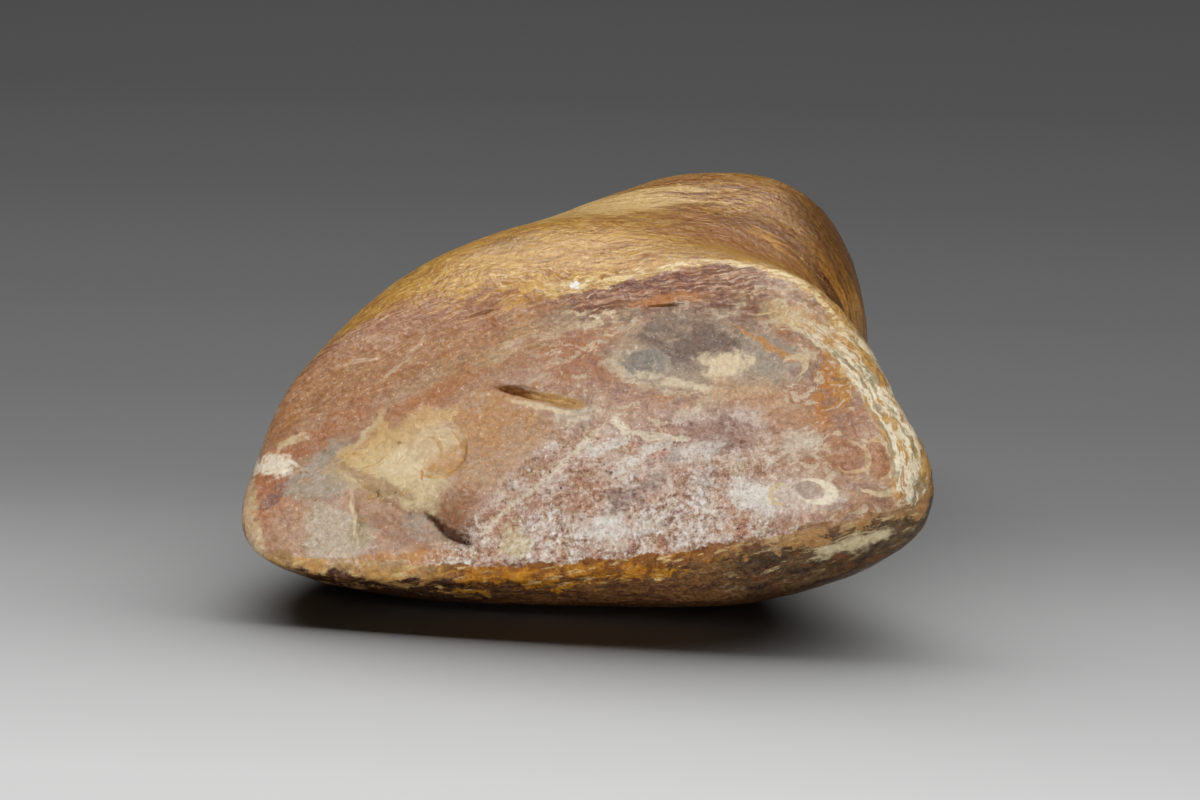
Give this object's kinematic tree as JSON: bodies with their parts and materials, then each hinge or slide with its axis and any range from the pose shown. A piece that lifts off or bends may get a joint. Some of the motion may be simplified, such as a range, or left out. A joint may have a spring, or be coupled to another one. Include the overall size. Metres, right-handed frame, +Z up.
{
  "type": "stone pestle",
  "caption": "Bell-shaped hand pestle of banded, polished stone with a flared, crowned oval working face and a short rounded grip, lying on its side.",
  "frame": {"origin": "middle of the bounding box, at the bottom, on the ground that the stone rests on", "axes": "+Z up from the ground, -Y the way the working face looks, +Y back along the grip to the butt, +X across the face to its flared right lip"},
  "size_m": [0.1268, 0.1164, 0.0595],
  "materials": {
    "banded_stone": "hand polished, banded ochre, red-brown and grey with cream chalcedony"
  },
  "bodies": {
    "root": {"pestle_stone": "banded_stone"}
  },
  "joints": []
}
